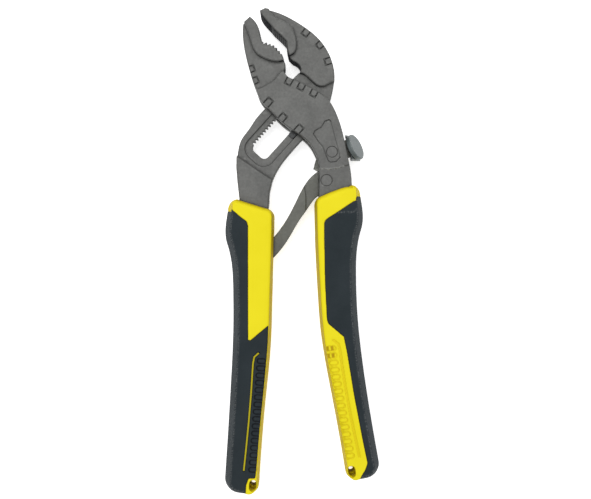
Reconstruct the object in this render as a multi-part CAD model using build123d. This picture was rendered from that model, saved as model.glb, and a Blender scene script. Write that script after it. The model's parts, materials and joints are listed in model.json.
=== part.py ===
from build123d import *
import os
from math import atan2, cos, degrees, hypot, pi, radians, sin

# Self-adjusting tongue and groove pliers, 250 mm class, lying flat on their back.
# +X is to the right, +Y runs up the tool to the jaw tips and +Z points away from the table.
# Outlines are drawn about the main pivot, with z = 0 in the middle of the plates; the whole
# tool is then moved so that the middle of its footprint on the table is the origin.

SHIFT = (-2.38, 75.10, 9.0)  # from the drawing frame to the finished frame

# ---- thicknesses, half values about the middle plane ----
HALF_PLATE = 2.5  # slotted plate of the sliding lever
HALF_GAP = 2.6  # inner faces of the two cheeks
HALF_HEAD = 6.6  # outer faces of the cheeks and of the gripping zones
HALF_JAW = 4.4  # outer zones of the jaws
HALF_NECK = 6.2  # neck just above the grip
HALF_TANG = 3.5  # steel tang inside a grip
HALF_GRIP = 9.0
EDGE = 0.5  # bevel on the steel edges
MARK_DEPTH = 0.35  # U-shaped grooves
PANEL_DEPTH = 0.3  # blank panel on the front cheek
THROUGH = 12.0  # half height of a cutter that goes right through

# ---- centres ----
PIVOT = (0.5, -0.6)
LOCK_CENTRE = (17.6, -23.3)
ARM_CENTRE = (14.8, -37.8)
ARM_END = (-15.6, -74.2)

# ---- pins ----
PIVOT_R = 2.6
SLEEVE_R = 3.4
LOCK_PIN_R = 2.6
ARM_PIN_R = 2.7
BUSH_R = 3.7
CROSS_PIN_R = 1.3
RIVET_R = 1.4
RIVET_TOP = 1.6
PIVOT_TOP = HALF_GAP + 2.4  # the main pivot is blind in the front cheek
RUN = 0.05  # radial running clearance

# ---- control arm ----
HUB_R = 6.1
HALF_HUB = 1.9

# ---- lock lever and its thumb button ----
HALF_LEVER = 0.9
HALF_BLOCK = 4.6
PAD_CENTRE = (30.9, -19.7, 0.6)
PAD_NORMAL = (0.797, 0.346, 0.5)
PAD_R = 6.9
PAD_DEPTH = 2.2
GROOVE_R = 4.6
GROOVE_DEPTH = 0.6

# ---- slot, rack and pawl: s runs along the slot from the pivot, n across it ----
SLOT_ANGLE = 48.0
SLOT_HALF = 4.9
SLOT_NEAR = 9.0
SLOT_FAR = -31.6
SLOT_CORNER = 2.8
RECESS_HALF = 8.5
RECESS_DEPTH = 0.8
RECESS_NEAR = 10.4
RECESS_CORNER = 6.0
BLOCK_NEAR = 5.0
BLOCK_INNER = HALF_PLATE - RECESS_DEPTH + RUN  # inner faces of the flange and the back plate
FLANGE_HALF = 8.1
FLANGE_NEAR = 6.4
FLANGE_CORNER = 4.0
RACK_PITCH = 1.9
RACK_DEPTH = 1.2
RACK_TEETH = 16
RACK_FAR = -29.4
PAWL_FAR = -9.4
PAWL_NEAR = -4.6
PAWL_TIP = 4.7
PAWL_BASE = -0.4
POCKET_FLOOR = -3.9

# ---- grips: u runs towards the outside of the tool, v up the handle from the hang hole ----
RIGHT_HOLE = (27.3, -184.5)
LEFT_HOLE = (-22.6, -191.6)
RIGHT_U = (0.9911, 0.1341)
LEFT_U = (-0.9971, 0.0766)
RIGHT_BOW = -2.4
LEFT_BOW = 0.0
BOW_SPAN = 140.0
HANG_HOLE_V = -2.2
HANG_HOLE_R = 1.4
HANG_RECESS_FRONT = (-2.4, -0.2)  # centres of the two ends of the oval recess on the front
HANG_RECESS_BACK = (-4.0, -2.2)
HANG_RECESS_R = 1.8
HALF_WEB = 2.0
PAD = 1.4  # depth of the soft pads on the two faces
CHANNEL = 2.8  # half height of the room for the arm inside the grips
HALF_TRACK = 4.5  # half height of the room for the cross pin


def face_of(points):
    """Flat face inside straight edges."""
    return make_face(Polyline(*points, close=True).edges())


def outline(*runs):
    """Flat face inside runs of points: two points make a line and more make a smooth curve."""
    edges = []
    for run in runs:
        edges += (Line(*run) if len(run) == 2 else Spline(*run)).edges()
    return make_face(edges)


def slab(face, low, high):
    """Prism on a flat face between two heights."""
    return extrude(Pos(0, 0, low) * face, high - low, dir=(0, 0, 1))


def bevelled(face, low, high, edge=EDGE):
    """Prism whose two outlines are bevelled."""
    body = slab(face, low, high)
    ends = body.edges().group_by(Axis.Z)
    return chamfer(ends[0] + ends[-1], edge)


def disc(centre, radius, low, high):
    """Upright cylinder."""
    return Pos(centre[0], centre[1], (low + high) / 2) * Cylinder(radius, high - low)


def slot_frame(s, n):
    """Point at s along the slot and n across it, towards the rack."""
    a = radians(SLOT_ANGLE)
    return (PIVOT[0] + s * cos(a) - n * sin(a), PIVOT[1] + s * sin(a) + n * cos(a))


def slot_box(s0, s1, n0, n1, low, high, corner=0.0):
    """Box along the slot, with rounded corners if asked."""
    size = (abs(s1 - s0), abs(n1 - n0))
    flat = RectangleRounded(*size, corner) if corner else Rectangle(*size)
    centre = slot_frame((s0 + s1) / 2, (n0 + n1) / 2)
    return slab(Pos(centre[0], centre[1]) * Rot(0, 0, SLOT_ANGLE) * flat, low, high)


def largest(body):
    """The main solid, without the crumbs that a cut leaves."""
    return body.solids().sort_by(SortBy.VOLUME)[-1]


def turned(centre, radius, angle):
    """Point at a radius and an angle from a centre."""
    return (centre[0] + radius * cos(radians(angle)), centre[1] + radius * sin(radians(angle)))


# ------------------------------------------------------------------ decoration


def u_mark(x, y, angle):
    """Cutter for a U-shaped groove, 3.6 mm wide, open towards the given angle."""
    outer = Rectangle(4.4, 3.8)
    inner = Pos(0.5, 0) * Rectangle(4.4, 2.8)
    ring = Rot(0, 0, angle) * (outer - inner)
    return Pos(x, y) * ring


def mark_all(body, marks, top):
    """Cut the U-shaped grooves into the front and back faces."""
    for x, y, angle in marks:
        ring = u_mark(x, y, angle)
        body = body - slab(ring, top - MARK_DEPTH, top + 1) - slab(ring, -top - 1, -top + MARK_DEPTH)
    return body


# ------------------------------------------------------------------ outlines


def cheek_face():
    """Cheek and neck, the same on the front and on the back."""
    over_jaw = [(-20.9, 8.6), (-18.1, 9.6), (-15.0, 11.4), (-12.5, 12.9), (-10.7, 14.8), (-8.6, 17.6)]
    throat = [(-6.9, 18.0), (-5.1, 15.2), (-2.3, 13.9)]
    upper = [(-2.3, 13.9), (4.9, 10.4), (10.5, 7.3), (15.0, 4.0), (18.6, -1.1), (21.2, -7.2), (23.0, -13.3)]
    upper += [(25.4, -24.5), (27.3, -33.7), (27.8, -41.9), (27.6, -51.0)]
    lower = [(11.0, -51.0), (11.1, -42.0), (11.2, -34.0), (10.5, -27.6), (8.9, -23.5), (6.5, -19.4)]
    lower += [(3.0, -15.9), (-0.7, -13.3), (-7.4, -8.7), (-14.0, -2.1), (-18.1, 2.2), (-20.9, 8.6)]
    return outline(over_jaw, [over_jaw[-1], throat[0]], throat, upper, [upper[-1], lower[0]], lower)


def left_jaw_face():
    """Jaw of the fixed lever, with its gripping edge before the teeth are cut."""
    return outline(
        [(-24.4, 45.8), (-28.0, 42.5)],
        [(-28.0, 42.5), (-28.1, 36.1), (-26.5, 25.9), (-24.2, 17.3), (-21.4, 9.1), (-18.1, 2.2)],
        [(-18.1, 2.2), (-8.0, 10.0)],
        [(-8.0, 10.0), (-6.9, 18.2)],
        [(-6.9, 18.2), (-6.1, 21.0), (-6.9, 23.6)],
        [(-6.9, 23.6), (-8.6, 27.6), (-12.0, 31.0), (-16.0, 32.7), (-18.1, 32.9)],
        [(-18.1, 32.9), (-19.3, 38.1), (-20.4, 41.2), (-22.1, 43.8), (-24.4, 45.8)],
    )


def left_zone_face():
    """Raised gripping zone of the fixed jaw."""
    return outline(
        [(-24.4, 45.8), (-27.4, 43.1)],
        [(-27.4, 43.1), (-25.7, 38.7), (-24.2, 34.6), (-22.6, 29.6), (-20.1, 26.2)],
        [(-20.1, 26.2), (-15.5, 23.9), (-11.4, 22.9), (-6.9, 23.6)],
        [(-6.9, 23.6), (-8.6, 27.6), (-12.0, 31.0), (-16.0, 32.7), (-18.1, 32.9)],
        [(-18.1, 32.9), (-19.3, 38.1), (-20.4, 41.2), (-22.1, 43.8), (-24.4, 45.8)],
    )


def right_jaw_face():
    """Full-thickness jaw of the sliding lever."""
    return outline(
        [(-19.3, 48.9), (-16.5, 50.2)],
        [(-16.5, 50.2), (-8.9, 48.1), (1.3, 42.7), (11.6, 34.4), (18.2, 22.0), (19.0, 13.0)],
        [(19.0, 13.0), (16.7, 12.4), (14.1, 11.0), (11.8, 10.7), (7.5, 13.3), (1.1, 17.6)],
        [(1.1, 17.6), (1.5, 20.0), (0.3, 22.0), (-2.0, 23.4)],
        [(-2.0, 23.4), (-4.3, 25.9), (-5.3, 29.8), (-5.6, 32.9)],
        [(-5.6, 32.9), (-8.9, 36.4), (-12.0, 39.2)],
        [(-12.0, 39.2), (-16.5, 44.3), (-18.8, 47.6), (-19.3, 48.9)],
    )


def right_zone_face():
    """Raised gripping zone of the sliding jaw."""
    return outline(
        [(-19.3, 48.9), (-16.5, 50.2)],
        [(-16.5, 50.2), (-14.6, 49.8)],
        [(-14.6, 49.8), (-12.5, 46.6), (-8.9, 44.4), (-5.3, 42.6), (-2.6, 40.2)],
        [(-2.6, 40.2), (-1.1, 35.8), (-0.5, 32.0), (-0.9, 28.8), (-4.3, 25.9)],
        [(-4.3, 25.9), (-5.3, 29.8), (-5.6, 32.9)],
        [(-5.6, 32.9), (-8.9, 36.4), (-12.0, 39.2)],
        [(-12.0, 39.2), (-16.5, 44.3), (-18.8, 47.6), (-19.3, 48.9)],
    )


def sliding_plate_face():
    """Thin slotted plate that joins the sliding jaw to its tang."""
    outer = [(0.8, 18.1), slot_frame(4.0, 12.7), slot_frame(-8.0, 12.8), slot_frame(-20.0, 12.8)]
    outer += [(-24.5, -10.2), (-29.1, -16.7), (-31.0, -24.4), (-31.5, -31.0), (-30.9, -38.5), (-30.0, -46.2)]
    inner = [(-14.9, -49.4), (-14.4, -43.7), (-12.4, -36.5), (-9.0, -30.1), (-3.8, -23.4)]
    inner += [slot_frame(-9.0, -12.1), slot_frame(3.0, -12.3), (15.4, -0.6), (18.2, 8.6), (19.2, 14.5)]
    return outline(outer, [outer[-1], inner[0]], inner, [inner[-1], outer[0]])


def badge_panel_face():
    """Blank recessed panel on the front cheek."""
    return outline(
        [(16.2, -7.0), (14.0, -7.7), (12.0, -10.8), (8.9, -12.6), (8.1, -14.3)],
        [(8.1, -14.3), (10.5, -17.9), (13.0, -21.0), (14.5, -25.0), (15.8, -28.0)],
        [(15.8, -28.0), (16.9, -28.6), (19.6, -28.3), (21.7, -26.1)],
        [(21.7, -26.1), (21.2, -23.0), (19.6, -17.4), (18.1, -11.3), (17.1, -8.0)],
        [(17.1, -8.0), (16.2, -7.0)],
    )


def arm_well_face():
    """Room for the hub and the swing of the control arm, in the middle layer."""
    return face_of([(6, -30), (21.6, -30), (21.6, -42), (18.6, -46.0), (16.2, -50.5), (12.6, -60), (6, -72)])


# ------------------------------------------------------------------ gripping teeth


def tooth_row(start, end, count, depth, lean):
    """Cutter for a row of notches between two points; lean moves the deep corner along the row."""
    length = hypot(end[0] - start[0], end[1] - start[1])
    angle = degrees(atan2(end[1] - start[1], end[0] - start[0]))
    pitch = length / count
    row = None
    for i in range(count):
        notch = face_of([(i * pitch, 0.6), ((i + lean) * pitch, -depth), ((i + 1) * pitch, 0.6)])
        row = notch if row is None else row + notch
    return Pos(*start) * Rot(0, 0, angle) * row


def fixed_jaw_teeth():
    """Six teeth along the curved gripping edge of the fixed jaw."""
    upper = tooth_row((-17.6, 32.6), (-12.0, 30.8), 3, 1.0, 0.2)
    lower = tooth_row((-12.0, 30.8), (-7.9, 26.2), 3, 1.0, 0.2)
    return upper + lower


def sliding_jaw_teeth():
    """Eight ridges along the gripping edge of the sliding jaw, cut from the other side."""
    return tooth_row((-5.8, 32.9), (-12.6, 39.5), 8, 0.6, 0.5)


# ------------------------------------------------------------------ grips and tangs


def bow(v, amount):
    """Sideways bow of a handle at a height v."""
    return amount * sin(pi * v / BOW_SPAN) if 0 < v < BOW_SPAN else 0.0


def bowed(points, amount):
    """Points of a grip outline after the bow."""
    return [(u + bow(v, amount), v) for u, v in points]


def grip_face(amount):
    """Outline of a grip, straight-sided at the top and swollen at the palm."""
    inner = [(-0.3, 134.0), (-1.4, 114.5), (-2.4, 92.6), (-3.4, 70.0), (-2.9, 40.4), (-2.7, 12.0)]
    inner += [(-2.9, -3.3)]
    toe = [(-2.9, -3.3), (-1.8, -5.3), (0.8, -7.2), (6.0, -7.8), (9.8, -7.2), (12.9, -5.0), (14.8, 0.0)]
    outer = [(14.8, 0.0), (15.1, 26.0), (15.6, 52.0), (16.4, 75.5), (18.0, 96.2), (20.0, 110.7)]
    outer += [(23.2, 120.6)]
    palm = [(23.2, 120.6), (24.3, 125.5), (24.4, 131.0), (23.9, 137.5)]
    crown = [(23.9, 137.5), (22.7, 141.4), (19.7, 143.3)]
    shoulder = [(3.2, 139.6), (0.7, 137.9), (-0.3, 134.0)]
    runs = [inner, toe, outer, palm, crown, [crown[-1], shoulder[0]], shoulder]
    return outline(*[bowed(run, amount) for run in runs])


def skin_face(amount):
    """Soft strip along the outer edge, over the whole depth of the grip."""
    heel = [(2.2, -8.0), (8.0, -5.6), (11.6, 0.0)]
    long = [(11.6, 0.0), (12.1, 26.0), (12.6, 52.0), (13.4, 75.5), (15.1, 96.2), (17.6, 112.0), (20.2, 122.0)]
    head = [(20.2, 122.0), (20.4, 134.9)]
    corners = [(20.4, 134.9), (30.0, 139.8), (30.0, -12.0), (2.2, -12.0), (2.2, -8.0)]
    sides = [corners[i : i + 2] for i in range(4)]
    return outline(*[bowed(run, amount) for run in (heel, long, head, *sides)])


def broad_pad_face(amount):
    """Soft area with the ribbed lower half, which leaves a rigid strip at the top inside."""
    line = [(30.0, 142.6), (22.7, 137.9), (13.4, 132.0), (12.5, 129.7), (11.2, 112.6), (9.6, 92.3)]
    line += [(8.0, 72.2), (6.8, 72.0), (-1.7, 80.3), (-2.1, 70.0), (-1.9, 50.0), (-1.3, 26.0), (-1.2, 6.8)]
    line += [(-0.9, 2.6), (2.4, 2.3), (3.4, -1.3), (3.2, -12.0), (30.0, -12.0)]
    return face_of(bowed(line, amount))


def narrow_pad_face(amount):
    """Soft area of the other face: wide at the top and a narrow strip below."""
    line = [(30.0, 139.8), (23.1, 136.4), (4.4, 126.9), (3.7, 125.5), (2.9, 114.4), (1.5, 95.0), (0.3, 76.5)]
    line += [(0.8, 74.5), (7.6, 67.0), (8.1, 59.0), (8.2, 37.0), (8.5, 13.8), (8.8, 2.0), (6.6, -2.0)]
    line += [(3.5, -5.9), (2.2, -8.0), (2.2, -12.0), (30.0, -12.0)]
    return face_of(bowed(line, amount))


def tang_face(amount):
    """Steel tang inside a grip."""
    inner = [(3.0, 144.0), (3.0, 141.0), (6.2, 133.0), (6.4, 104.0), (5.0, 70.0), (4.2, 18.0)]
    outer = [(10.4, 18.0), (11.2, 70.0), (13.4, 96.0), (15.6, 112.0), (17.6, 126.0), (18.4, 144.0)]
    return face_of(bowed(inner, amount) + bowed(outer, amount))


def handle_plane(side):
    """Frame of a grip: x outwards, y up the handle."""
    if side == "left":
        return Plane(origin=(*LEFT_HOLE, 0), x_dir=(*LEFT_U, 0), z_dir=(0, 0, -1))
    return Plane(origin=(*RIGHT_HOLE, 0), x_dir=(*RIGHT_U, 0), z_dir=(0, 0, 1))


def tang(side):
    """Tang of one lever, in the drawing frame."""
    amount = LEFT_BOW if side == "left" else RIGHT_BOW
    return handle_plane(side).location * slab(tang_face(amount), -HALF_TANG, HALF_TANG)


def grip_shells(side):
    """Rigid core and soft overmould of one grip, before the steel is cut out of the core."""
    amount = LEFT_BOW if side == "left" else RIGHT_BOW
    whole = slab(grip_face(amount), -HALF_GRIP, HALF_GRIP)
    ends = whole.edges().group_by(Axis.Z)
    whole = fillet(ends[0] + ends[-1], 3.0)
    soft = slab(skin_face(amount), -HALF_GRIP - 1, HALF_GRIP + 1)
    soft = soft + slab(broad_pad_face(amount), -HALF_GRIP - 1, -HALF_GRIP + PAD)
    soft = soft + slab(narrow_pad_face(amount), HALF_GRIP - PAD, HALF_GRIP + 1)
    core = whole - soft - disc((0, HANG_HOLE_V), HANG_HOLE_R, -THROUGH, THROUGH)
    front = -1 if side == "left" else 1
    for (low, high), face in ((HANG_RECESS_FRONT, front), (HANG_RECESS_BACK, -front)):
        oval = Pos(0, (low + high) / 2) * Rot(0, 0, 90) * SlotCenterToCenter(high - low, 2 * HANG_RECESS_R)
        near, far = sorted((face * HALF_WEB, face * THROUGH))
        core = core - slab(oval, near, far)
    place = handle_plane(side).location
    return place * core, place * (whole & soft)


# ------------------------------------------------------------------ fixed lever


JAW_MARKS_FIXED = [(-24.0, 19.4, 200), (-22.0, 13.4, 205)]
CHEEK_MARKS = [
    (-14.8, 2.0, 228), (-7.6, -5.9, 228), (0.8, -11.7, 228),
    (-4.4, 12.6, 62), (1.9, 10.0, 62), (8.3, 6.6, 62),
]
JAW_MARKS_SLIDING = [(4.3, 38.2, 52), (11.6, 31.9, 42), (15.8, 23.5, 18)]
JAW_RIVETS = [(-17.4, 7.4), (-12.6, 11.0)]
TANG_RIVETS = [(22.0, -48.6)]


def rear_cheek():
    """Back plate riveted to the fixed lever behind the slotted plate."""
    body = bevelled(cheek_face(), -HALF_HEAD, -HALF_GAP, 0.3)
    for centre, radius in [(PIVOT, PIVOT_R), (LOCK_CENTRE, LOCK_PIN_R), (ARM_CENTRE, ARM_PIN_R)]:
        body = body - disc(centre, radius, -THROUGH, 0)
    for centre in JAW_RIVETS + TANG_RIVETS:
        body = body - disc(centre, RIVET_R, -THROUGH, 0)
    return mark_all(body, CHEEK_MARKS, HALF_HEAD)


def front_lever():
    """Fixed lever: left jaw, front cheek, neck and right-hand tang in one forging."""
    jaw = bevelled(left_jaw_face(), -HALF_JAW, HALF_JAW)
    room = slab(face_of([(-26, -2), (-20.6, 6.2), (-6.2, 12.6), (5, 30), (5, -5)]), -HALF_GAP, HALF_GAP)
    zone = bevelled(left_zone_face(), -HALF_HEAD, HALF_HEAD)
    cheek = bevelled(cheek_face(), HALF_GAP, HALF_HEAD, 0.3)
    body = mark_all(jaw, JAW_MARKS_FIXED, HALF_JAW) + zone
    body = body - room
    body = body + mark_all(cheek, CHEEK_MARKS, HALF_HEAD)
    body = body - slab(fixed_jaw_teeth(), -THROUGH, THROUGH)
    spacer = [(11.2, -46.5), (27.4, -43.5), (27.6, -51.0), (11.0, -51.0)]
    body = body + slab(face_of(spacer), -HALF_GAP, HALF_GAP + 1) + tang("right")
    body = body - slab(arm_well_face(), -HALF_GAP, HALF_GAP)
    body = body - slab(cheek_face(), -HALF_HEAD, -HALF_GAP)
    body = body - slab(badge_panel_face(), HALF_HEAD - PANEL_DEPTH, HALF_HEAD + 1)
    lower_neck = [(8, -31.9), (16.6, -32.2), (20.7, -31.7), (23.7, -30.6), (30, -28.8), (30, -60), (8, -60)]
    body = body - slab(face_of(lower_neck), HALF_NECK, HALF_HEAD + 1)
    body = body - disc(PIVOT, PIVOT_R, -HALF_HEAD, PIVOT_TOP)
    for centre, radius in [(LOCK_CENTRE, LOCK_PIN_R), (ARM_CENTRE, ARM_PIN_R)]:
        body = body - disc(centre, radius, 0, THROUGH)
    for centre in JAW_RIVETS + TANG_RIVETS:
        body = body - disc(centre, RIVET_R, -HALF_HEAD, RIVET_TOP)
    return largest(body)


def pivot_pin():
    """Main pivot, blind in the front cheek and flush at the back."""
    return disc(PIVOT, PIVOT_R, -HALF_HEAD, PIVOT_TOP)


def lock_lever_pin():
    return disc(LOCK_CENTRE, LOCK_PIN_R, -HALF_HEAD, HALF_HEAD - 0.4)


def control_arm_pin():
    return disc(ARM_CENTRE, ARM_PIN_R, -HALF_HEAD, HALF_NECK - 0.1)


def rear_cheek_rivets():
    """Blind rivets that hold the back plate."""
    return Compound([disc(centre, RIVET_R, -HALF_HEAD, RIVET_TOP) for centre in JAW_RIVETS + TANG_RIVETS])


# ------------------------------------------------------------------ sliding lever


def slotted_lever():
    """Sliding lever: right jaw, slotted plate with its rack, and left-hand tang."""
    jaw = mark_all(bevelled(right_jaw_face(), -HALF_JAW, HALF_JAW), JAW_MARKS_SLIDING, HALF_JAW)
    zone = bevelled(right_zone_face(), -HALF_HEAD, HALF_HEAD)
    plate = bevelled(sliding_plate_face(), -HALF_PLATE, HALF_PLATE, 0.4)
    shank = [(-31.4, -24.9), (-24.4, -29.6), (-19.2, -33.2), (-12.9, -37.3), (-14.4, -43.7), (-15.1, -53.2)]
    shank += [(-29.6, -49.6), (-30.9, -38.5), (-31.5, -31.0)]
    thick = bevelled(face_of(shank), -HALF_TANG - 1.0, HALF_TANG + 1.0)
    body = jaw + zone + plate + thick + tang("left")
    body = body - slab(sliding_jaw_teeth(), -THROUGH, THROUGH)
    body = body - slot_box(SLOT_FAR, SLOT_NEAR, -SLOT_HALF, SLOT_HALF, -THROUGH, THROUGH, SLOT_CORNER)
    floor = HALF_PLATE - RECESS_DEPTH
    for low, high in [(floor, floor + 1), (-floor - 1, -floor)]:
        band = slot_box(SLOT_FAR - 4.2, RECESS_NEAR, -RECESS_HALF, RECESS_HALF, low, high, RECESS_CORNER)
        body = body - band
    return body - slab(rack_spaces(), -THROUGH, THROUGH)


def rack_spaces():
    """Spaces between the rack teeth, cut into the upper rail."""
    spaces = None
    for i in range(RACK_TEETH):
        s = RACK_FAR + RACK_PITCH * (i + 0.5)
        low, high = SLOT_HALF - 0.3, SLOT_HALF + RACK_DEPTH
        corners = [(s - 0.85, low), (s + 0.85, low), (s + 0.25, high), (s - 0.25, high)]
        space = face_of([slot_frame(*corner) for corner in corners])
        spaces = space if spaces is None else spaces + space
    return spaces


# ------------------------------------------------------------------ slide block and pawl


def pivot_sleeve():
    """Bush between the pivot pin and the slide block."""
    return disc(PIVOT, SLEEVE_R, -HALF_PLATE, HALF_PLATE) - disc(PIVOT, PIVOT_R + RUN, -THROUGH, THROUGH)


def flange(low, high):
    """Plate wider than the slot, which lies in the recess round it."""
    return slot_box(PAWL_FAR - 0.9, FLANGE_NEAR, -FLANGE_HALF, FLANGE_HALF, low, high, FLANGE_CORNER)


def slide_block():
    """Block that runs in the slot, with its front flange in the recess round the slot."""
    half = SLOT_HALF - RUN
    block = slot_box(PAWL_FAR - 1.2, BLOCK_NEAR, -half, half, -BLOCK_INNER, BLOCK_INNER, 0.8)
    foot = slot_box(-13.4, -8.0, -FLANGE_HALF, -SLOT_HALF, BLOCK_INNER, HALF_PLATE, 0.8)
    pocket = slot_box(PAWL_FAR, PAWL_NEAR, POCKET_FLOOR, SLOT_HALF + 1, -BLOCK_INNER - 1, BLOCK_INNER)
    body = block + flange(BLOCK_INNER, HALF_PLATE) + foot - pocket
    return body - disc(PIVOT, SLEEVE_R + RUN, -THROUGH, THROUGH)


def slide_plate():
    """Back plate of the slide block."""
    return flange(-HALF_PLATE, -BLOCK_INNER) - disc(PIVOT, SLEEVE_R + RUN, -THROUGH, THROUGH)


def pawl():
    """Toothed pawl in the slide block, drawn back from the rack at rest."""
    half = HALF_PLATE - RECESS_DEPTH - 0.1
    body = slot_box(PAWL_FAR + 0.05, PAWL_NEAR - 0.05, PAWL_BASE, PAWL_TIP - 1.0, -half, half)
    for i in (11, 12):
        s = RACK_FAR + RACK_PITCH * (i + 0.5)
        root = PAWL_TIP - 1.2
        corners = [(s - 0.6, root), (s + 0.6, root), (s + 0.12, PAWL_TIP), (s - 0.12, PAWL_TIP)]
        body = body + slab(face_of([slot_frame(*corner) for corner in corners]), -half, half)
    return body


def pawl_springs():
    """Two coil springs behind the pawl."""
    springs = []
    length = PAWL_BASE - POCKET_FLOOR - 0.4
    for s in (PAWL_FAR + 1.3, PAWL_NEAR - 1.3):
        x, y = slot_frame(s, POCKET_FLOOR + 0.2)
        path = Helix(pitch=0.7, height=length, radius=0.75)
        coil = sweep(Plane(path @ 0, z_dir=path % 0) * Circle(0.15), path)
        springs.append(Pos(x, y, 0) * Rot(0, 0, SLOT_ANGLE + 90) * Rot(0, 90, 0) * coil)
    return Compound(springs)


# ------------------------------------------------------------------ control arm and lock


def arm_bush():
    """Bush on the control arm pin."""
    bush = disc(ARM_CENTRE, BUSH_R, -HALF_HUB, HALF_HUB)
    return bush - disc(ARM_CENTRE, ARM_PIN_R + RUN, -THROUGH, THROUGH)


def control_arm():
    """Arm from the neck of the fixed lever to the channel in the left-hand grip."""
    left = [(10.6, -32.9), (6.5, -36.2), (3.1, -40.9), (-1.2, -49.4), (-9.0, -62.8), (-16.4, -70.8)]
    end = [(-16.4, -70.8), (-19.0, -74.2), (-16.6, -77.6), (-11.7, -76.8)]
    right = [(-11.7, -76.8), (-9.4, -74.2), (-3.8, -66.2), (1.3, -57.5), (4.7, -52.8), (10.4, -45.6)]
    around = [turned(ARM_CENTRE, HUB_R, angle) for angle in (-90, -30, 30, 90)]
    face = outline(left, end, right + around[:1], around + [left[0]])
    joggle = [(3.6, -30), (3.6, -41.5), (4.3, -46), (4.2, -54)]
    thin = face & face_of(joggle + [(25, -60), (25, -30)])
    thick = face & face_of(joggle + [(4, -90), (-25, -90), (-25, -30)])
    body = slab(thin, -HALF_HUB, HALF_HUB) + slab(thick, -HALF_PLATE, HALF_PLATE)
    half = HALF_LEVER + 0.15  # groove for the nose of the lock lever
    groove = disc(ARM_CENTRE, 13.5, -half, half) - disc(ARM_CENTRE, HUB_R, -half, half)
    body = body - groove - disc(ARM_CENTRE, BUSH_R + RUN, -THROUGH, THROUGH)
    return body - disc(ARM_END, CROSS_PIN_R, -THROUGH, THROUGH)


def arm_cross_pin():
    """Pin through the end of the arm that runs in the tracks of the channel."""
    return disc(ARM_END, CROSS_PIN_R, 0.3 - HALF_TRACK, HALF_TRACK - 0.3)


def lock_lever():
    """Thin lever in the neck: nose at the arm hub and a tongue inside the thumb button."""
    nose = [(15.4, -19.4), (10.8, -23.6), (9.2, -27.6), (8.2, -31.5), (10.8, -32.9), (14.6, -28.6)]
    tongue = [(19.0, -28.0), (28.4, -25.0), (28.4, -15.4), (20.6, -17.6)]
    body = slab(face_of(nose + tongue), -HALF_LEVER, HALF_LEVER)
    return body - disc(LOCK_CENTRE, LOCK_PIN_R + RUN, -THROUGH, THROUGH)


def thumb_button():
    """Tilted round pad on a block that clears the neck, with a groove between them."""
    tilted = Plane(origin=PAD_CENTRE, z_dir=PAD_NORMAL)
    pad = tilted * Pos(0, 0, -PAD_DEPTH / 2) * Cylinder(PAD_R, PAD_DEPTH)
    pad = chamfer(pad.edges().sort_by(Axis((0, 0, 0), PAD_NORMAL))[-1:], 0.4)
    root = tilted * Pos(0, 0, -PAD_DEPTH - GROOVE_DEPTH) * Cylinder(GROOVE_R, 2 * GROOVE_DEPTH)
    sides = [(24.9, -13.7), (29.4, -13.2), (33.0, -15.0), (33.0, -26.7)]
    sides += [(27.9, -26.7), (27.2, -23.5), (26.1, -18.0)]
    block = bevelled(face_of(sides), -HALF_BLOCK, HALF_BLOCK)
    beyond = tilted * Pos(0, 0, 10 - PAD_DEPTH - GROOVE_DEPTH) * Cylinder(12, 20)
    return largest(pad + root + (block - beyond) - lock_lever())


def lock_spring():
    """Torsion spring round the lock lever pin, between the lever and the back plate."""
    path = Helix(pitch=0.5, height=1.0, radius=3.1)
    coil = sweep(Plane(path @ 0, z_dir=path % 0) * Circle(0.2), path)
    return Pos(LOCK_CENTRE[0], LOCK_CENTRE[1], -2.3) * coil


# ------------------------------------------------------------------ the grips, cut to fit the steel


def right_grip(fixed, cheek):
    """Grip of the fixed lever, with a well for the control arm."""
    core, soft = grip_shells("right")
    core = core - fixed - cheek - rear_cheek_rivets() - slab(arm_well_face(), -CHANNEL, CHANNEL)
    return core, soft


def left_grip(sliding):
    """Grip of the sliding lever, with a channel and two tracks for the end of the control arm."""
    core, soft = grip_shells("left")
    frame = handle_plane("left").location
    channel = face_of([(-12, 103.5), (6.2, 103.5), (6.2, 124.0), (-12, 131.0)])
    track = face_of([(-0.7, 108.5), (3.7, 108.5), (3.7, 120.0), (-0.7, 120.0)])
    room = slab(channel, -CHANNEL, CHANNEL) + slab(track, -HALF_TRACK, HALF_TRACK)
    return core - sliding - frame * room, soft


def main():
    """Write one file for each sub-part."""
    os.makedirs("parts", exist_ok=True)
    fixed = front_lever()
    cheek = rear_cheek()
    sliding = slotted_lever()
    right_core, right_soft = right_grip(fixed, cheek)
    left_core, left_soft = left_grip(sliding)
    parts = {
        "front_lever": fixed,
        "rear_cheek": cheek,
        "pivot_pin": pivot_pin(),
        "lock_lever_pin": lock_lever_pin(),
        "control_arm_pin": control_arm_pin(),
        "rear_cheek_rivets": rear_cheek_rivets(),
        "right_grip_core": right_core,
        "right_grip_overmould": right_soft,
        "pivot_sleeve": pivot_sleeve(),
        "slide_block": slide_block(),
        "slide_plate": slide_plate(),
        "pawl": pawl(),
        "pawl_springs": pawl_springs(),
        "slotted_lever": sliding,
        "left_grip_core": left_core,
        "left_grip_overmould": left_soft,
        "arm_bush": arm_bush(),
        "control_arm": control_arm(),
        "arm_cross_pin": arm_cross_pin(),
        "lock_lever": lock_lever(),
        "thumb_button": thumb_button(),
        "lock_spring": lock_spring(),
    }
    for name, body in parts.items():
        moved = Pos(*SHIFT) * body
        export_step(moved, f"parts/{name}.step")


main()
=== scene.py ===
import json
import math

import bmesh
import bpy
import numpy as np
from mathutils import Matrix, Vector
from mathutils.bvhtree import BVHTree


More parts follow.
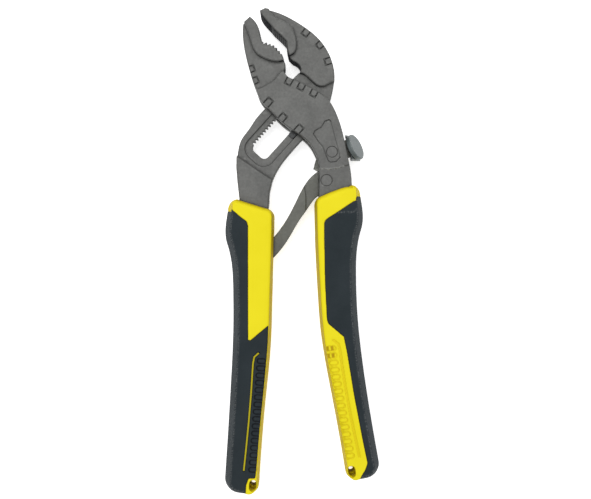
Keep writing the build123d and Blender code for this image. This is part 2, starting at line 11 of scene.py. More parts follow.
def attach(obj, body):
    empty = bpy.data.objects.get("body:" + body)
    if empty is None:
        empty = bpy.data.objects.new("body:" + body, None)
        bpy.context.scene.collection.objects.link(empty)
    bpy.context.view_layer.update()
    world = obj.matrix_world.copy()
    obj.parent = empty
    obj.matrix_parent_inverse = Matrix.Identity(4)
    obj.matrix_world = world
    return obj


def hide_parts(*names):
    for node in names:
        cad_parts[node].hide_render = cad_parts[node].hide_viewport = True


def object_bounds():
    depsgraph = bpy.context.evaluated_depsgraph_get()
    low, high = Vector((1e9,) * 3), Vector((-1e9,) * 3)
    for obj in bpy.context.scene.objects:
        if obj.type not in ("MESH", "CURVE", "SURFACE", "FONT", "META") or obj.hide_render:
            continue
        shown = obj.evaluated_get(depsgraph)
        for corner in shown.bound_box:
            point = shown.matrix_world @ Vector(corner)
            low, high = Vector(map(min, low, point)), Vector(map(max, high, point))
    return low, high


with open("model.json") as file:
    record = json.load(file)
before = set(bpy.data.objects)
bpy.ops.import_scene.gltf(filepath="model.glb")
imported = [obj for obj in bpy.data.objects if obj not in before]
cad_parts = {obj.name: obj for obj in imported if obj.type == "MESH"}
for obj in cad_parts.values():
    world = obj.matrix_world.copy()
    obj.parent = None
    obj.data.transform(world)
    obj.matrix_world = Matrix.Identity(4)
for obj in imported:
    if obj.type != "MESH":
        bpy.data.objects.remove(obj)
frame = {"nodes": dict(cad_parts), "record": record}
cad_low, cad_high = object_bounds()

NODES = frame["nodes"]
BODY_OF = {n: b for b, members in frame["record"]["behaviour"]["bodies"].items() for n in members}
MOUNTS = {m["name"]: m for m in frame["record"]["mounts"]}
MM = 0.001
MIDDLE = (cad_low.z + cad_high.z) / 2  # middle plane of the plates

# ------------------------------------------------------------------ camera, floor and light

CAMERA_HEIGHT = 0.335  # above the middle plane
VIEW_WIDTH = 0.3073  # what the frame's width covers at the middle plane
LOOK_AT = (-0.0034, 0.0019)


def make_camera():
    """Camera straight above the tool, as wide as the view needs."""
    data = bpy.data.cameras.new("camera")
    camera = bpy.data.objects.new("camera", data)
    camera.location = (LOOK_AT[0], LOOK_AT[1], MIDDLE + CAMERA_HEIGHT)
    data.sensor_width = 36.0
    data.lens = data.sensor_width * CAMERA_HEIGHT / VIEW_WIDTH
    data.clip_start = 0.01
    bpy.context.scene.collection.objects.link(camera)
    bpy.context.scene.camera = camera


def make_floor():
    """Plain pale floor."""
    mesh = bpy.data.meshes.new("floor")
    size = 3.0
    corners = [(-size, -size, 0), (size, -size, 0), (size, size, 0), (-size, size, 0)]
    mesh.from_pydata(corners, [], [(0, 1, 2, 3)])
    floor = bpy.data.objects.new("floor", mesh)
    floor.location.z = cad_low.z - 0.02 * MM
    bpy.context.scene.collection.objects.link(floor)
    material = bpy.data.materials.new("floor")
    material.use_nodes = True
    shader = material.node_tree.nodes["Principled BSDF"]
    shader.inputs["Base Color"].default_value = (0.93, 0.93, 0.93, 1)
    shader.inputs["Roughness"].default_value = 0.9
    shader.inputs["Emission Color"].default_value = (1, 1, 1, 1)
    shader.inputs["Emission Strength"].default_value = 0.6
    mesh.materials.append(material)


def area_light(name, place, target, size, power):
    """Square soft light that faces a target."""
    data = bpy.data.lights.new(name, "AREA")
    data.shape = "SQUARE"
    data.size = size
    data.energy = power
    light = bpy.data.objects.new(name, data)
    light.location = place
    light.rotation_euler = (Vector(target) - Vector(place)).to_track_quat("-Z", "Y").to_euler()
    bpy.context.scene.collection.objects.link(light)


def make_light():
    """Even white surroundings, darker towards the horizon, with a soft key light from above."""
    world = bpy.data.worlds.new("studio")
    world.use_nodes = True
    tree = world.node_tree
    background = tree.nodes["Background"]
    coords = tree.nodes.new("ShaderNodeTexCoord")
    parts = tree.nodes.new("ShaderNodeSeparateXYZ")
    ramp = tree.nodes.new("ShaderNodeValToRGB")
    ramp.color_ramp.elements[0].color = (0.30, 0.30, 0.31, 1)
    ramp.color_ramp.elements[1].position = 0.6
    tree.links.new(coords.outputs["Generated"], parts.inputs["Vector"])
    tree.links.new(parts.outputs["Z"], ramp.inputs["Fac"])
    tree.links.new(ramp.outputs["Color"], background.inputs["Color"])
    background.inputs["Strength"].default_value = 0.85
    bpy.context.scene.world = world
    area_light("key", (-0.15, 0.30, 0.80), (0, 0, 0), 0.5, 3.0)
    bpy.context.scene.view_settings.view_transform = "Standard"


# ------------------------------------------------------------------ materials


class Nodes:
    """Small helper that adds and links shader nodes."""

    def __init__(self, name):
        self.material = bpy.data.materials.new(name)
        self.material.use_nodes = True
        self.tree = self.material.node_tree
        self.shader = self.tree.nodes["Principled BSDF"]
        coords = self.tree.nodes.new("ShaderNodeTexCoord")
        self.place = coords.outputs["Object"]

    def add(self, kind, **settings):
        node = self.tree.nodes.new(kind)
        for key, value in settings.items():
            setattr(node, key, value)
        return node

    def link(self, source, target):
        self.tree.links.new(source, target)

    def noise(self, size, detail=2.0, rough=0.5):
        """Noise whose features have about that size in metres."""
        node = self.add("ShaderNodeTexNoise")
        node.inputs["Scale"].default_value = 1.0 / size
        node.inputs["Detail"].default_value = detail
        node.inputs["Roughness"].default_value = rough
        self.link(self.place, node.inputs["Vector"])
        return node.outputs["Fac"]

    def cells(self, size):
        """Voronoi distance with cells of about that size in metres."""
        node = self.add("ShaderNodeTexVoronoi")
        node.inputs["Scale"].default_value = 1.0 / size
        self.link(self.place, node.inputs["Vector"])
        return node.outputs["Distance"]

    def ramp(self, source, stops):
        """Colour ramp through (position, colour) stops."""
        node = self.add("ShaderNodeValToRGB")
        elements = node.color_ramp.elements
        while len(elements) < len(stops):
            elements.new(0.5)
        for element, (position, colour) in zip(elements, stops):
            element.position = position
            element.color = (*colour, 1)
        self.link(source, node.inputs["Fac"])
        return node.outputs["Color"]

    def span(self, source, low, high, to_low, to_high):
        """Value mapped from one range to another and clamped."""
        node = self.add("ShaderNodeMapRange")
        for key, value in zip(("From Min", "From Max", "To Min", "To Max"), (low, high, to_low, to_high)):
            node.inputs[key].default_value = value
        self.link(source, node.inputs["Value"])
        return node.outputs["Result"]

    def math(self, operation, a, b):
        node = self.add("ShaderNodeMath", operation=operation)
        self.link(a, node.inputs[0])
        if hasattr(b, "links"):
            self.link(b, node.inputs[1])
        else:
            node.inputs[1].default_value = b
        return node.outputs[0]

    def mix(self, factor, a, b, blend="MIX"):
        """Mix of two colours; each is an output or three numbers."""
        node = self.add("ShaderNodeMix", data_type="RGBA", blend_type=blend)
        for socket, value in ((node.inputs[0], factor), (node.inputs[6], a), (node.inputs[7], b)):
            if hasattr(value, "links"):
                self.link(value, socket)
            elif isinstance(value, tuple):
                socket.default_value = (*value, 1)
            else:
                socket.default_value = value
        return node.outputs[2]

    def bump(self, heights):
        """Chain of bump nodes from (height output, distance in metres, strength)."""
        normal = None
        for height, distance, strength in heights:
            node = self.add("ShaderNodeBump")
            node.inputs["Distance"].default_value = distance
            node.inputs["Strength"].default_value = strength
            self.link(height, node.inputs["Height"])
            if normal:
                self.link(normal, node.inputs["Normal"])
            normal = node.outputs["Normal"]
        self.link(normal, self.shader.inputs["Normal"])

    def pointiness(self, low, high):
        """1 on sharp convex edges and 0 on flats."""
        node = self.add("ShaderNodeNewGeometry")
        return self.span(node.outputs["Pointiness"], low, high, 0.0, 1.0)

    def cavity(self, low=0.455, high=0.49):
        """1 in concave corners and in the grooves marked on the mesh, 0 elsewhere; the mask for painted
        shade.
        """
        node = self.add("ShaderNodeNewGeometry")
        corner = self.span(node.outputs["Pointiness"], low, high, 1.0, 0.0)
        mark = self.add("ShaderNodeAttribute", attribute_name="groove").outputs["Fac"]
        return self.math("MAXIMUM", corner, mark)

    def shade(self, reach, low, high):
        """1 where neighbouring surfaces close in within the reach, 0 in the open; the mask for painted
        shade.
        """
        node = self.add("ShaderNodeAmbientOcclusion", samples=8)
        node.inputs["Distance"].default_value = reach
        return self.span(node.outputs["AO"], low, high, 1.0, 0.0)

    def marked(self, name):
        """Value of a mesh attribute."""
        return self.add("ShaderNodeAttribute", attribute_name=name).outputs["Fac"]

    def colour(self, source):
        self.link(source, self.shader.inputs["Base Color"])

    def roughness(self, source):
        self.link(source, self.shader.inputs["Roughness"])

    def value(self, name, number):
        self.shader.inputs[name].default_value = number


def steel(name, base, metallic, rough, grain=0.00035, edge_rub_highlight=0.45):
    """Blasted or turned steel: fine grain, cloudy tone, painted shade in corners and grooves, edges
    lightened by wear and a painted highlight, a painted highlight along the rubbed neck line, and painted
    shade on the jaw walls that face the mouth.
    """
    n = Nodes(name)
    dark = tuple(c * 0.88 for c in base)
    pale = tuple(c * 1.12 for c in base)
    cloud = n.ramp(n.noise(0.009, 4.0, 0.6), [(0.35, dark), (0.65, pale)])
    fine = n.noise(grain, 3.0, 0.7)
    speckle = n.ramp(fine, [(0.3, (0.84, 0.84, 0.84)), (0.7, (1.0, 1.0, 1.0))])
    tone = n.mix(1.0, cloud, speckle, "MULTIPLY")
    # Convex edges lighter: wear plus a painted highlight on the edges.
    edge = n.math("MULTIPLY", n.pointiness(0.515, 0.60), n.span(n.noise(0.002, 3.0), 0.3, 0.6, 0.4, 1.0))
    rubbed_highlight = tuple(min(1.0, c * (1 + edge_rub_highlight * 1.6)) for c in base)
    tone = n.mix(n.math("MULTIPLY", edge, edge_rub_highlight), tone, rubbed_highlight)
    # Painted shade: darker in concave corners, in the marked grooves and where nearby surfaces close in.
    painted_shade = n.math("MAXIMUM", n.math("MULTIPLY", n.cavity(), 0.42), n.shade(0.0018, 0.5, 0.93))
    tone = n.mix(n.math("MULTIPLY", painted_shade, 0.85), tone, tuple(c * 0.2 for c in base))
    # Painted highlight, flecked, along the rubbed line across the neck.
    bright = n.math("MULTIPLY", n.marked("rubbed_highlight"), n.span(n.noise(0.0012, 3.0), 0.4, 0.6, 0.2, 0.9))
    tone = n.mix(bright, tone, tuple(c * 2.4 for c in base))
    # Painted shade: near black on the jaw walls that face the mouth, lighter on the ridge crests.
    n.colour(n.mix(n.marked("mouth_shade"), tone, (0.003, 0.005, 0.008)))
    sheen = n.span(n.noise(0.0012, 3.0), 0.3, 0.7, rough - 0.07, rough + 0.07)
    n.roughness(n.math("MAXIMUM", sheen, n.marked("mouth_shade")))
    n.value("Metallic", metallic)
    n.bump([(fine, 0.00006, 0.55), (n.noise(0.0025, 3.0), 0.0002, 0.12)])
    return n.material


def yellow_plastic(name, shade):
    """Satin yellow nylon with painted shade on the upright sides, in grooves and in corners, brown on the
    two uppermost pockets, and faint scuffs.
    """
    n = Nodes(name)
    dark, pale = (0.755 * shade, 0.650 * shade, 0.012), (0.785 * shade, 0.680 * shade, 0.015)
    face = n.ramp(n.noise(0.02, 3.0), [(0.3, dark), (0.7, pale)])
    # Painted shade: upright sides deeper orange than the flat faces.
    normal = n.add("ShaderNodeSeparateXYZ")
    n.link(n.add("ShaderNodeNewGeometry").outputs["Normal"], normal.inputs["Vector"])
    upright = n.math("ABSOLUTE", normal.outputs["Z"], 0.0)
    tone = n.mix(n.span(upright, 0.15, 0.93, 0.9, 0.0), face, (0.47, 0.33, 0.002))
    # Painted shade: orange-brown in concave corners, rib lines and where nearby surfaces close in.
    painted_shade = n.math("MAXIMUM", n.math("MULTIPLY", n.cavity(), 0.45), n.shade(0.0015, 0.45, 0.85))
    tone = n.mix(n.math("MULTIPLY", painted_shade, 0.7), tone, (0.56, 0.36, 0.006))
    # Brown on the two uppermost filled pockets.
    n.colour(n.mix(n.marked("brown_pockets"), tone, (0.36, 0.20, 0.006)))
    n.roughness(n.span(n.noise(0.003, 4.0), 0.3, 0.7, 0.50, 0.62))
    n.value("Specular IOR Level", 0.07)
    n.bump([(n.noise(0.0006, 3.0), 0.00003, 0.4)])
    return n.material


def charcoal_rubber():
    """Soft overmould: blue-black rubber with a leathery grain, painted shade in grooves and corners, and
    dust with a painted highlight along the rubbed ridges.
    """
    n = Nodes("charcoal_rubber")
    grain = n.cells(0.00055)
    tone = n.ramp(n.noise(0.012, 4.0), [(0.3, (0.014, 0.021, 0.025)), (0.7, (0.020, 0.028, 0.033))])
    # Painted shade: near black in grooves and concave corners.
    tone = n.mix(n.math("MULTIPLY", n.cavity(0.47, 0.495), 0.9), tone, (0.003, 0.004, 0.006))
    # Dust plus painted highlight: pale flecks along the ridge.
    dust_and_highlight = n.span(n.noise(0.0007, 5.0, 0.7), 0.46, 0.62, 0.05, 1.0)
    rim = n.math("MULTIPLY", n.marked("ridge"), dust_and_highlight)
    n.colour(n.mix(n.math("MULTIPLY", rim, 0.75), tone, (0.13, 0.135, 0.137)))
    n.roughness(n.span(grain, 0.0, 0.6, 0.56, 0.72))
    n.value("Specular IOR Level", 0.18)
    n.bump([(grain, 0.00009, 0.5), (n.noise(0.003, 3.0), 0.0001, 0.15)])
    return n.material


def coated_metal(name, base):
    """Grey-green coated steel of the thumb button, with painted shade in grooves and corners and a painted
    highlight on the edges.
    """
    n = Nodes(name)
    dark = tuple(c * 0.9 for c in base)
    tone = n.ramp(n.noise(0.004, 4.0), [(0.3, dark), (0.7, base)])
    # Painted shade: near black in concave corners and grooves.
    tone = n.mix(n.math("MULTIPLY", n.cavity(), 0.9), tone, (0.010, 0.013, 0.016))
    # Painted highlight: convex edges much lighter.
    edge = n.math("MULTIPLY", n.pointiness(0.515, 0.58), 0.5)
    n.colour(n.mix(edge, tone, (0.42, 0.44, 0.43)))
    n.roughness(n.span(n.noise(0.0008, 3.0), 0.3, 0.7, 0.38, 0.5))
    n.value("Metallic", 0.25)
    n.bump([(n.noise(0.0004, 3.0), 0.00004, 0.4)])
    return n.material


# ------------------------------------------------------------------ mesh tools


def baked(obj):
    """Replace an object's mesh by what its modifiers give."""
    graph = bpy.context.evaluated_depsgraph_get()
    mesh = bpy.data.meshes.new_from_object(obj.evaluated_get(graph))
    obj.modifiers.clear()
    old = obj.data
    obj.data = mesh
    bpy.data.meshes.remove(old)


def copy_of(node, name):
    """New object with a welded copy of a CAD node's mesh."""
    mesh = NODES[node].data.copy()
    mesh.name = name
    work = bmesh.new()
    work.from_mesh(mesh)
    bmesh.ops.remove_doubles(work, verts=work.verts, dist=1e-6)
    work.to_mesh(mesh)
    work.free()
    mesh.materials.clear()
    mesh.attributes.update()
    obj = bpy.data.objects.new(name, mesh)
    bpy.context.scene.collection.objects.link(obj)
    return obj


def soften(obj, voxel, rounds):
    """Round every edge a little by a voxel remesh and smoothing."""
    remesh = obj.modifiers.new("remesh", "REMESH")
    remesh.mode = "VOXEL"
    remesh.voxel_size = voxel
    smooth = obj.modifiers.new("smooth", "SMOOTH")
    smooth.factor = 0.5
    smooth.iterations = rounds
    baked(obj)


def thin_out(obj, ratio):
    """Fewer faces where the surface is flat, shaded by face area so that flats stay flat."""
    thin = obj.modifiers.new("thin", "DECIMATE")
    thin.ratio = ratio
    flat = obj.modifiers.new("flat", "WEIGHTED_NORMAL")
    flat.weight = 50
    baked(obj)


def points_of(mesh):
    co = np.empty(len(mesh.vertices) * 3)
    mesh.vertices.foreach_get("co", co)
    return co.reshape(-1, 3)


def normals_of(mesh):
    values = np.empty(len(mesh.vertices) * 3, np.float32)
    mesh.vertex_normals.foreach_get("vector", values)
    return values.reshape(-1, 3)


def set_points(mesh, co):
    mesh.vertices.foreach_set("co", co.ravel())
    mesh.update()


def step(value, low, high):
    """Smooth rise from 0 at low to 1 at high."""
    t = np.clip((value - low) / (high - low), 0, 1)
    return t * t * (3 - 2 * t)


def dress(obj, node, material):
    """Make an object stand for a CAD node, with one material and smooth shading."""
    obj.data.materials.clear()
    obj.data.materials.append(material)
    obj.data.polygons.foreach_set("use_smooth", [True] * len(obj.data.polygons))
    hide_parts(node)
    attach(obj, BODY_OF[node])


def distance_to_path(u, v, path):
    """Distance of each point to a line through several points."""
    best = np.full(u.shape, 1e9)
    for (u0, v0), (u1, v1) in zip(path, path[1:]):
        du, dv = u1 - u0, v1 - v0
        t = np.clip(((u - u0) * du + (v - v0) * dv) / (du * du + dv * dv), 0, 1)
        best = np.minimum(best, np.hypot(u - u0 - t * du, v - v0 - t * dv))
    return best


def mark(mesh, name, values):
    """Store one number for each vertex under a name that the materials read."""
    attribute = mesh.attributes.new(name, "FLOAT", "POINT")
    attribute.data.foreach_set("value", values.astype(np.float32))


def tree_of(obj):
    """Search tree over an object's own faces."""
    work = bmesh.new()
    work.from_mesh(obj.data)
    tree = BVHTree.FromBMesh(work)
    work.free()
    return tree


# ------------------------------------------------------------------ grips

GRIP_U = {"left": (-0.9971, 0.0766), "right": (0.9911, 0.1341)}  # outwards across each handle
GRIP_BOW = {"left": 0.0, "right": -2.4}
BROAD_FACE = {"left": 1, "right": -1}  # which face carries the broad soft pad
BOW_SPAN = 140.0
HANG_HOLE_V = -2.2
RIB_COUNT = 16
RIB_TOP = 62.0
RIB_PITCH = 3.68
STRIPE = [(2.1, 66.0), (4.2, 63.8), (4.6, 60.5), (4.4, 45.0), (4.5, 30.0), (4.8, 16.0), (5.1, 6.0)]
STRIPE_WIDTH = 0.9
HALF_GRIP = 9.0
DRAFT_START = 2.5  # height above the middle plane where the sides begin to slope
DRAFT_END = 8.8
DRAFT_INNER = 1.2
DRAFT_OUTER = 2.8
CORNER = 3.0  # rounding of the grips in the frame
FADE = 6.0  # depth over which the slope's shift dies away
WALL_BLUR = 1.2  # how far along the wall its direction is averaged
WALL_LEVEL = 5.1  # height at which the upright wall is sampled
WALL_REACH = 30.0  # a ray this long from the outer wall meets nothing of the grip
CROWN_SLOPE = 0.25  # share of the slope left at the end next to the steel
RIDGE = 3.3  # distance of the ridge with dust and painted highlight from the outer wall
RIDGE_WIDTH = 0.5
RIDGE_RISE = 0.08
POCKET_DEPTH = 0.45  # filled pockets in place of the two uppermost ribs
GROOVE_FULL = 0.4  # groove depth at which its mark is full
BROWN_SHARE = 0.8
GRIP_VOXEL = 0.33
GRIP_RATIO = 0.6  # share of the faces kept


def grip_axes(side):
    """Origin of a grip's own frame and the unit vectors across and along it."""
    across = np.array(GRIP_U[side])
    along = np.array((-across[1], across[0])) * (1 if side == "right" else -1)
    hole = np.array(MOUNTS[side + "_hang_hole"]["pos_m"][:2])
    return hole - along * HANG_HOLE_V * MM, across, along


def bow(side, v):
    """Sideways bow of a handle at heights v, in millimetres."""
    return np.where((v > 0) & (v < BOW_SPAN), GRIP_BOW[side] * np.sin(np.pi * v / BOW_SPAN), 0)


def grip_coords(co, side):
    """u, v and w of points on a grip, in millimetres, with the bow taken out."""
    origin, across, along = grip_axes(side)
    flat = co[:, :2] - origin
    u, v = flat @ across / MM, flat @ along / MM
    return u - bow(side, v), v, (co[:, 2] - MIDDLE) / MM


def outline_of(side, shells, lever):
    """Points in millimetres along a grip's upright outer wall, and the outward direction at each."""
    trees = [tree_of(NODES[node]) for node in (side + "_grip_core", side + "_grip_overmould", lever)]
    places, outwards = [], []
    for shell in shells:
        co, normals = points_of(shell.data), normals_of(shell.data)
        u, v, w = grip_coords(co, side)
        upright = (np.abs(np.abs(w) - WALL_LEVEL) < 0.5) & (np.abs(normals[:, 2]) < 0.3)
        wall = upright & (np.hypot(u, v + 1) > 5)  # away from the hang hole
        for index in np.flatnonzero(wall)[::8]:
            direction = Vector(normals[index])
            start = Vector(co[index]) + direction * 0.15 * MM
            if not any(tree.ray_cast(start, direction, WALL_REACH * MM)[0] for tree in trees):
                places.append(co[index, :2] / MM)
                outwards.append(normals[index, :2])
    return np.array(places), np.array(outwards)


def wall_field(co, places, outwards):
    """For each point the distance in millimetres to the outer wall and the wall's smoothed direction."""
    depth, direction = np.empty(len(co)), np.empty((len(co), 2))
    for start in range(0, len(co), 4000):
        part = slice(start, start + 4000)
        offset = co[part, None, :2] / MM - places[None]
        square = (offset**2).sum(axis=2)
        least = square.min(axis=1)
        weight = np.exp(-(square - least[:, None]) / (2 * WALL_BLUR**2))
        mean = weight @ outwards
        direction[part] = mean / np.maximum(np.linalg.norm(mean, axis=1), 1e-6)[:, None]
        depth[part] = np.sqrt(least)
    return depth, direction


def corner_depth(w):
    """How far the frame's rounded corner lies inside its upright wall."""
    rise = np.clip(np.abs(w) - (HALF_GRIP - CORNER), 0, CORNER)
    return CORNER - np.sqrt(CORNER**2 - rise**2)


def draft_depth(u, w):
    """How far the sloping side lies inside the frame's side."""
    most = DRAFT_INNER + (DRAFT_OUTER - DRAFT_INNER) * step(u, 0, 6)
    wanted = most * np.clip((np.abs(w) - DRAFT_START) / (DRAFT_END - DRAFT_START), 0, 1)
    return np.maximum(wanted - corner_depth(w), 0)


def pill(u, v, middle_u, middle_v, half_u, half_v):
    """Distance outside a bar with round ends, negative inside."""
    return np.hypot(np.maximum(np.abs(u - middle_u) - half_u + half_v, 0), v - middle_v) - half_v


def ribs(u, v):
    """Depth of the lines round the ribs in millimetres, and 1 on the filled upper ribs."""
    index = np.clip(np.round((RIB_TOP - v) / RIB_PITCH), 0, RIB_COUNT - 1)
    middle = RIB_TOP - index * RIB_PITCH
    bar = pill(u, v, 0.4, middle, 2.2, 1.2)
    dent = pill(u, v, -3.5, middle, 1.2, 1.0)
    line = 1 - step(np.abs(bar), 0.12, 0.42)
    filled = 1 - step(np.abs(np.abs(u + 0.4) - 1.2), 0.5, 0.8)
    filled = filled * (1 - step(np.abs(v - middle), 1.0, 1.3)) * (index < 2)
    return 0.4 * line + 0.5 * (1 - step(dent, -0.3, 0.3)), filled


def stripe_depth(u, v):
    """Shallow channel along the stripe."""
    return 0.4 * (1 - step(distance_to_path(u, v, STRIPE), 0.4, 0.75))


def grip_pieces(side, lever, core_material, soft_material):
    """Both shells of a grip with sloping sides, ribs and channel."""
    rows = []
    for node, material in ((side + "_grip_core", core_material), (side + "_grip_overmould", soft_material)):
        shell = copy_of(node, node + "_shell")
        soften(shell, GRIP_VOXEL * MM, 2)
        rows.append((node, shell, material))
    places, outwards = outline_of(side, [row[1] for row in rows], lever)
    along = grip_axes(side)[2]
    for node, shell, material in rows:
        co = points_of(shell.data)
        u, v, w = grip_coords(co, side)
        inside, direction = wall_field(co, places, outwards)
        crown = 1 - (1 - CROWN_SLOPE) * step(direction @ along, 0.3, 0.8)
        fade = 1 - step(inside - corner_depth(w), 0, FADE)
        co[:, :2] -= direction * (draft_depth(u, w) * crown * fade * MM)[:, None]
        rib_lines, filled = ribs(u, v)
        on_face = step(np.abs(w), 8.2, 8.7)
        filled = filled * on_face * ("core" in node)
        depth = (rib_lines + stripe_depth(u, v)) * on_face
        ridge = np.exp(-(((inside - RIDGE) / RIDGE_WIDTH) ** 2)) * ("overmould" in node)
        ridge = ridge * step(u, 3.0, 6.0) * step(np.abs(w), 4.5, 6.0)
        sunk = np.maximum(depth, POCKET_DEPTH * filled)
        co[:, 2] += np.sign(w) * (RIDGE_RISE * ridge - sunk) * MM
        set_points(shell.data, co)
        # The groove mark sets where the materials paint shade in the rib lines and stripe channel.
        mark(shell.data, "groove", np.clip(depth / GROOVE_FULL, 0, 1))
        mark(shell.data, "brown_pockets", BROWN_SHARE * filled)
        # The ridge mark places the dust and painted highlight on the overmould.
        mark(shell.data, "ridge", ridge)
        thin_out(shell, GRIP_RATIO)
        dress(shell, node, material)


def stripe_piece(side, material):
    """Yellow stripe laid in the channel of the broad pad."""
    origin, across, along = grip_axes(side)
    face = BROAD_FACE[side]
    work = bmesh.new()
    rows = []
    for index, (u, v) in enumerate(STRIPE):
        before, after = STRIPE[max(index - 1, 0)], STRIPE[min(index + 1, len(STRIPE) - 1)]
        run = Vector((after[0] - before[0], after[1] - before[1])).normalized()
        row = []
        for sideways, depth in ((-0.5, 0.5), (-0.42, 0.08), (0.42, 0.08), (0.5, 0.5)):
            pu = u - run.y * sideways * STRIPE_WIDTH + float(bow(side, np.array(v)))
            pv = v + run.x * sideways * STRIPE_WIDTH
            flat = origin + across * pu * MM + along * pv * MM
            row.append(work.verts.new((flat[0], flat[1], MIDDLE + face * (HALF_GRIP - depth) * MM)))
        rows.append(row)
    for row, following in zip(rows, rows[1:]):
        for k in range(4):
            work.faces.new((row[k], row[(k + 1) % 4], following[(k + 1) % 4], following[k]))
    work.faces.new(rows[0])
    work.faces.new(rows[-1][::-1])
    bmesh.ops.recalc_face_normals(work, faces=work.faces)
    mesh = bpy.data.meshes.new(side + "_grip_stripe")
    work.to_mesh(mesh)
    work.free()
    mesh.materials.append(material)
    obj = bpy.data.objects.new(side + "_grip_stripe", mesh)
    bpy.context.scene.collection.objects.link(obj)
    bevel = obj.modifiers.new("bevel", "BEVEL")
    bevel.width = 0.12 * MM
    bevel.segments = 2
    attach(obj, BODY_OF[side + "_grip_core"])


# ------------------------------------------------------------------ steel pieces

SHIFT = (-2.38, 75.10)  # from the drawing frame about the main pivot to the finished frame
HALF_HEAD = 6.6  # outer faces of the cheeks
HALF_JAW = 4.4  # outer zones of the jaws
MARK_DEPTH = 0.25
MARK_TONE = 0.35  # how dark the painted shade in the marks is
MARK_PATH = [
    (2.1, -1.6), (-0.5, -1.6), (-1.25, -1.3), (-1.65, -0.5),
    (-1.65, 0.5), (-1.25, 1.3), (-0.5, 1.6), (2.1, 1.6),
]
HEAD_MARKS = [
    (-14.8, 2.0, 228), (-7.6, -5.9, 228), (0.8, -11.7, 228),
    (-4.4, 12.6, 62), (1.9, 10.0, 62), (8.3, 6.6, 62),
]
JAW_MARKS = [(-24.0, 19.4, 200), (-22.0, 13.4, 205), (4.3, 38.2, 52), (11.6, 31.9, 42), (15.8, 23.5, 18)]
PIN_RINGS = [((17.6, -23.3), 2.6), ((14.8, -37.8), 2.7)]
PANEL = [
    (21.7, -26.1), (19.6, -28.3), (16.9, -28.6), (15.8, -28.0), (14.5, -25.0), (13.0, -21.0), (10.5, -17.9),
    (8.1, -14.3), (8.9, -12.6), (12.0, -10.8), (14.0, -7.7), (16.2, -7.0), (17.1, -8.0),
]
NECK_LINE = [(8.0, -31.9), (16.6, -32.2), (20.7, -31.7), (23.7, -30.6)]
MOUTH_RIGHT = [
    (-19.3, 48.9), (-12.0, 39.2), (-5.6, 32.9), (-4.3, 25.9), (-2.0, 23.4), (1.3, 20.5), (1.1, 17.6),
]
JAW_RIDGES = [(-13.6, 41.0), (-6.0, 32.2)]
RIDGE_COUNT = 8
MOUTH_LEFT = [(-6.9, 23.6), (-6.1, 21.0), (-6.9, 18.0), (-5.1, 15.2)]


def steel_marks(co, normals):
    """Groove depth in millimetres on the flat faces of the levers."""
    x, y = co[:, 0] / MM - SHIFT[0], co[:, 1] / MM - SHIFT[1]
    height = np.abs(co[:, 2] - MIDDLE) / MM
    flat = step(np.abs(normals[:, 2]), 0.6, 0.85)
    on_head = flat * (1 - step(np.abs(height - HALF_HEAD), 0.6, 0.8))
    on_jaw = flat * (1 - step(np.abs(height - HALF_JAW), 0.6, 0.8))
    near = np.full(x.shape, 1e9)
    for marks, level in ((HEAD_MARKS, on_head), (JAW_MARKS, on_jaw)):
        for cx, cy, angle in marks:
            a = math.radians(angle)
            u = (x - cx) * math.cos(a) + (y - cy) * math.sin(a)
            v = -(x - cx) * math.sin(a) + (y - cy) * math.cos(a)
            near = np.minimum(near, distance_to_path(u, v, MARK_PATH) + 9 * (1 - level))
    front = 9 * (co[:, 2] < MIDDLE)
    for (cx, cy), radius in PIN_RINGS:
        ring = np.abs(np.hypot(x - cx, y - cy) - radius - 0.1)
        near = np.minimum(near, ring + 0.08 + 9 * (1 - on_head) + front)
    panel = distance_to_path(x, y, PANEL)
    near = np.minimum(near, panel + 0.06 + 9 * (1 - on_head) + front)
    return MARK_DEPTH * (1 - step(near, 0.1, 0.42))


def ridges(x, y):
    """1 on the crests of the upright ridges in the right jaw, 0 between and elsewhere; the crests get less
    painted shade.
    """
    (x0, y0), (x1, y1) = JAW_RIDGES
    length = math.hypot(x1 - x0, y1 - y0)
    along = ((x - x0) * (x1 - x0) + (y - y0) * (y1 - y0)) / length
    on = (along > 0) & (along < length)
    return on * (0.5 - 0.5 * np.cos(2 * np.pi * along * RIDGE_COUNT / length))


def mouth(co, normals):
    """1 on the walls of the jaws that face the mouth, which get painted shade."""
    x, y = co[:, 0] / MM - SHIFT[0], co[:, 1] / MM - SHIFT[1]
    wall = 1 - step(np.abs(normals[:, 2]), 0.35, 0.7)
    near = np.minimum(distance_to_path(x, y, MOUTH_RIGHT), distance_to_path(x, y, MOUTH_LEFT))
    return wall * (1 - step(near, 2.2, 3.0)) * (1 - 0.45 * ridges(x, y))


def rubbed_highlight(co, normals):
    """1 along the rubbed line across the front of the neck, where a painted highlight goes."""
    x, y = co[:, 0] / MM - SHIFT[0], co[:, 1] / MM - SHIFT[1]
    front = (co[:, 2] > MIDDLE) & (normals[:, 2] > 0.2)
    return front * (1 - step(distance_to_path(x, y, NECK_LINE), 0.2, 0.5))


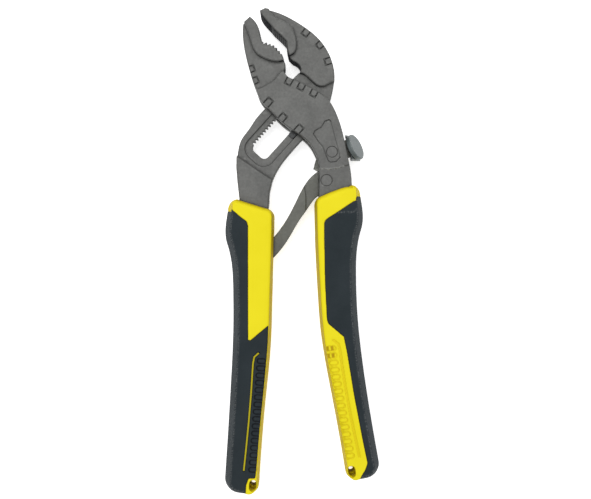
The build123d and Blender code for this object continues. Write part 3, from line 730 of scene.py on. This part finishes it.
def forged_piece(node, material, voxel=0.24, rounds=3, ratio=0.4):
    """A forged or pressed steel piece with softened edges."""
    obj = copy_of(node, node + "_forged")
    soften(obj, voxel * MM, rounds)
    co, normals = points_of(obj.data), normals_of(obj.data)
    depth = steel_marks(co, normals)
    # The groove mark scaled by MARK_TONE sets the painted shade in the marks, pin rings and panel outline.
    mark(obj.data, "groove", np.clip(depth / MARK_DEPTH, 0, 1) * MARK_TONE)
    mark(obj.data, "mouth_shade", mouth(co, normals))
    mark(obj.data, "rubbed_highlight", rubbed_highlight(co, normals))
    set_points(obj.data, co - normals * (depth * MM)[:, None])
    thin_out(obj, ratio)
    dress(obj, node, material)


def paint(node, material):
    """Give a CAD node that keeps its own shape a finished material."""
    mesh = NODES[node].data
    mesh.materials.clear()
    mesh.materials.append(material)


# ------------------------------------------------------------------ making it all

make_camera()
make_floor()
make_light()

forged = steel("forged_steel", (0.120, 0.121, 0.116), 0.40, 0.58)
plate = steel("arm_plate", (0.110, 0.112, 0.098), 0.40, 0.55)
turned = steel("turned_steel", (0.112, 0.113, 0.109), 0.45, 0.52, 0.0002, 0.2)
block = steel("blackened_steel", (0.035, 0.037, 0.038), 0.5, 0.45, 0.0002, 0.2)
wire = steel("spring_wire", (0.25, 0.25, 0.25), 0.9, 0.35, 0.0002, 0.1)
yellow = yellow_plastic("yellow_nylon", 1.0)
# The stripe uses the same yellow at 0.55 brightness: painted shade for the stripe in its channel.
stripe = yellow_plastic("stripe_nylon", 0.55)
charcoal = charcoal_rubber()
button = coated_metal("button_coating", (0.105, 0.125, 0.125))

for node in ("front_lever", "slotted_lever"):
    forged_piece(node, forged, 0.20, 2, 0.35)
forged_piece("rear_cheek", forged)
forged_piece("control_arm", plate, 0.2)
forged_piece("lock_lever", plate, 0.15, 2)
forged_piece("thumb_button", button, 0.15, 2)
for side, lever in (("left", "slotted_lever"), ("right", "front_lever")):
    grip_pieces(side, lever, yellow, charcoal)
    stripe_piece(side, stripe)
for node in ("pivot_pin", "lock_lever_pin", "control_arm_pin", "rear_cheek_rivets", "pivot_sleeve",
             "pawl", "arm_bush", "arm_cross_pin"):
    paint(node, turned)
for node in ("slide_block", "slide_plate"):
    paint(node, block)
for node in ("pawl_springs", "lock_spring"):
    paint(node, wire)
